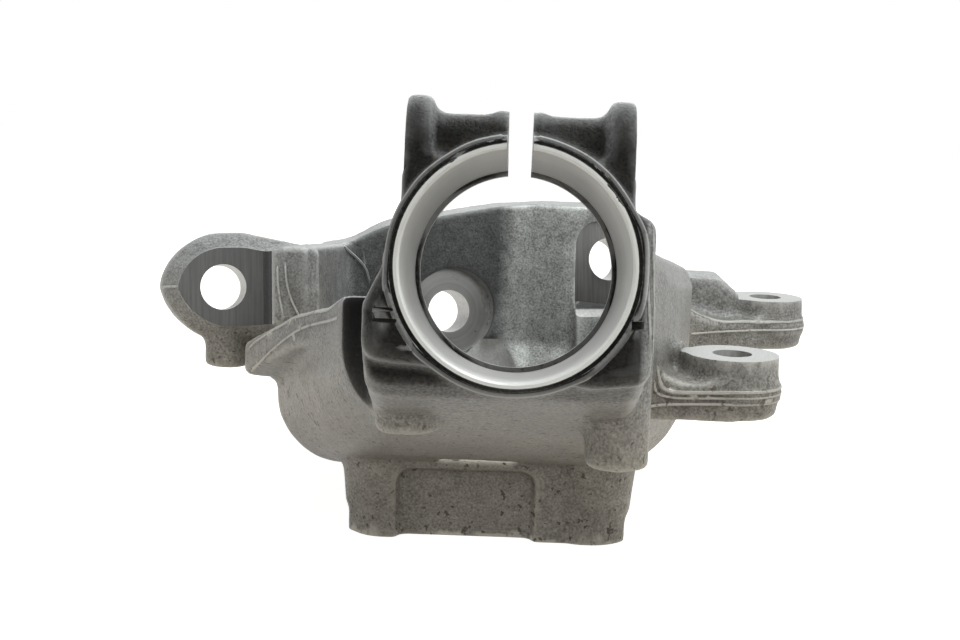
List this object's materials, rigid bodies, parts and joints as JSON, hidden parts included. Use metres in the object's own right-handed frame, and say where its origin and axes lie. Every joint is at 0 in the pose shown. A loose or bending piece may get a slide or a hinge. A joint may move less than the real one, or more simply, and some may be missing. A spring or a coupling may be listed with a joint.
{
  "type": "steering knuckle",
  "caption": "Cast steering knuckle: a split strut clamp and a square bearing carrier joined by an open shell, with a tie-rod arm, ball-joint seats and caliper ears.",
  "frame": {"origin": "centre of the wheel-bearing bore on the carrier's mounting face, on which the part rests", "axes": "+Z inboard along the wheel axis, -Y towards the strut clamp, +X towards the caliper ears"},
  "size_m": [0.2423, 0.3166, 0.1471],
  "materials": {
    "cast_aluminium": "shot-blasted casting with milled seats"
  },
  "bodies": {
    "root": {"knuckle_casting": "cast_aluminium"}
  },
  "joints": []
}
